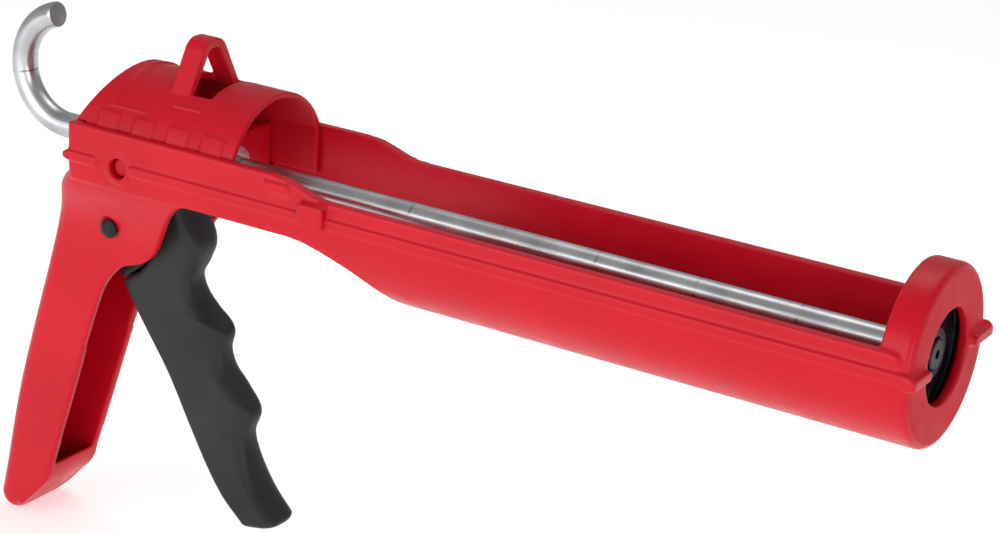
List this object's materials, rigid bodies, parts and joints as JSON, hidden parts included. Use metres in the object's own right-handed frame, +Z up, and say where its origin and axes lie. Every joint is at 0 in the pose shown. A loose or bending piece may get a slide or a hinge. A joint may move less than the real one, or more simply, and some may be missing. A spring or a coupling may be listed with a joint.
{
  "type": "caulking gun",
  "caption": "Moulded caulking gun with an open half-round cradle, hooked push rod, finger-groove trigger and ladder loop.",
  "frame": {"origin": "centre of the nose bore on the collar's front face", "axes": "+X along the rod out of the nose, +Z up, +Y to the left of a user holding the gun; the handle hangs down at the rear"},
  "size_m": [0.3609, 0.064, 0.1939],
  "materials": {
    "red_plastic": "satin moulded nylon",
    "black_grip": "fine matt texture",
    "black_plastic": "semi-gloss",
    "zinc_steel": "bright zinc plate",
    "black_steel": "black oxide",
    "spring_steel": "drawn wire"
  },
  "bodies": {
    "frame": {"frame": "red_plastic", "hood": "red_plastic", "pivot_pin": "black_steel", "pin_clip": "black_steel", "front_bush": "black_plastic", "rear_bush": "black_plastic", "spring_washer": "zinc_steel", "drive_spring": "spring_steel", "brake_spring": "spring_steel", "brake_pin": "zinc_steel"},
    "trigger": {"trigger_grip": "black_grip", "trigger_lever": "black_grip", "thrust_pin": "zinc_steel"},
    "drive": {"drive_plate_rear": "zinc_steel", "drive_plate_front": "zinc_steel"},
    "piston": {"piston": "black_plastic"},
    "rod": {"rod": "zinc_steel", "piston_washer": "zinc_steel", "piston_screw": "black_steel"},
    "brake": {"brake_plate": "zinc_steel"}
  },
  "joints": [
    {"name": "trigger_pivot", "type": "hinge", "parent": "frame", "child": "trigger", "pos_m": [-0.3005, 0, -0.026], "axis": [0, 1, 0], "range_deg": [0, 34], "stiffness_Nm_per_rad": 0.5, "springref_deg": -22.92},
    {"name": "drive_slide", "type": "slide", "parent": "frame", "child": "drive", "axis": [1, 0, 0], "range_m": [0, 0.0084], "deforming": ["drive_spring"]},
    {"name": "rod_slide", "type": "slide", "parent": "frame", "child": "piston", "axis": [1, 0, 0], "range_m": [-0.238, 0]},
    {"name": "rod_turn", "type": "hinge", "parent": "piston", "child": "rod", "pos_m": [0, 0, 0], "axis": [1, 0, 0], "continuous": true},
    {"name": "brake_tilt", "type": "hinge", "parent": "frame", "child": "brake", "pos_m": [-0.312, 0, -0.014], "axis": [0, 1, 0], "range_deg": [0, 4], "stiffness_Nm_per_rad": 0.3, "springref_deg": -8.59, "deforming": ["brake_spring"]}
  ],
  "couplings": [
    {"joint": "drive_slide", "follows": "trigger_pivot", "m_per_rad": 0.01415}
  ]
}
